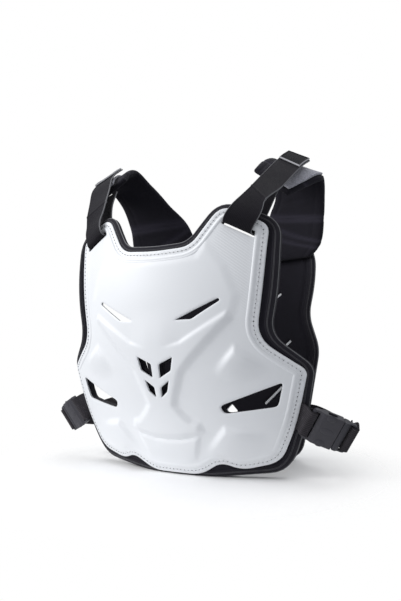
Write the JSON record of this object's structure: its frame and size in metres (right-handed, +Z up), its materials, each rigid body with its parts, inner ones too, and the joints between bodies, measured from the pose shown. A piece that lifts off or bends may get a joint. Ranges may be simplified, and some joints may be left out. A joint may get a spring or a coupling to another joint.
{
  "type": "chest and back protector",
  "caption": "Chest and back protector for off-road riding: ribbed moulded shells on foam liners, joined by padded shoulder straps and by side webbing with side-release buckles.",
  "frame": {"origin": "floor level under the middle of the bounding box", "axes": "+X to the wearer's left, -Y out of the front plate, +Z up"},
  "size_m": [0.5008, 0.271, 0.4908],
  "materials": {
    "shell": "semi-gloss white moulded plastic",
    "foam": "black knit cloth over foam, stitched",
    "strap": "black cloth ribbon with grey edge binding",
    "webbing": "black ribbed nylon webbing",
    "pile": "grey loop pile",
    "patch": "soft moulded patch",
    "buckle": "dark grey satin plastic"
  },
  "bodies": {
    "root": {"front_shell": "shell", "front_liner": "foam", "back_liner": "foam", "back_shell": "shell", "shoulder_pad_left": "foam", "shoulder_pad_right": "foam", "pile_strip_left": "pile", "pile_strip_right": "pile", "shoulder_strap_left": "strap", "shoulder_strap_right": "strap", "strap_patch_left": "patch", "strap_patch_right": "patch", "buckle_socket_left": "buckle", "buckle_socket_right": "buckle", "buckle_plug_left": "buckle", "buckle_plug_right": "buckle", "front_webbing_left": "webbing", "front_webbing_right": "webbing", "back_webbing_left": "webbing", "back_webbing_right": "webbing"}
  },
  "joints": []
}
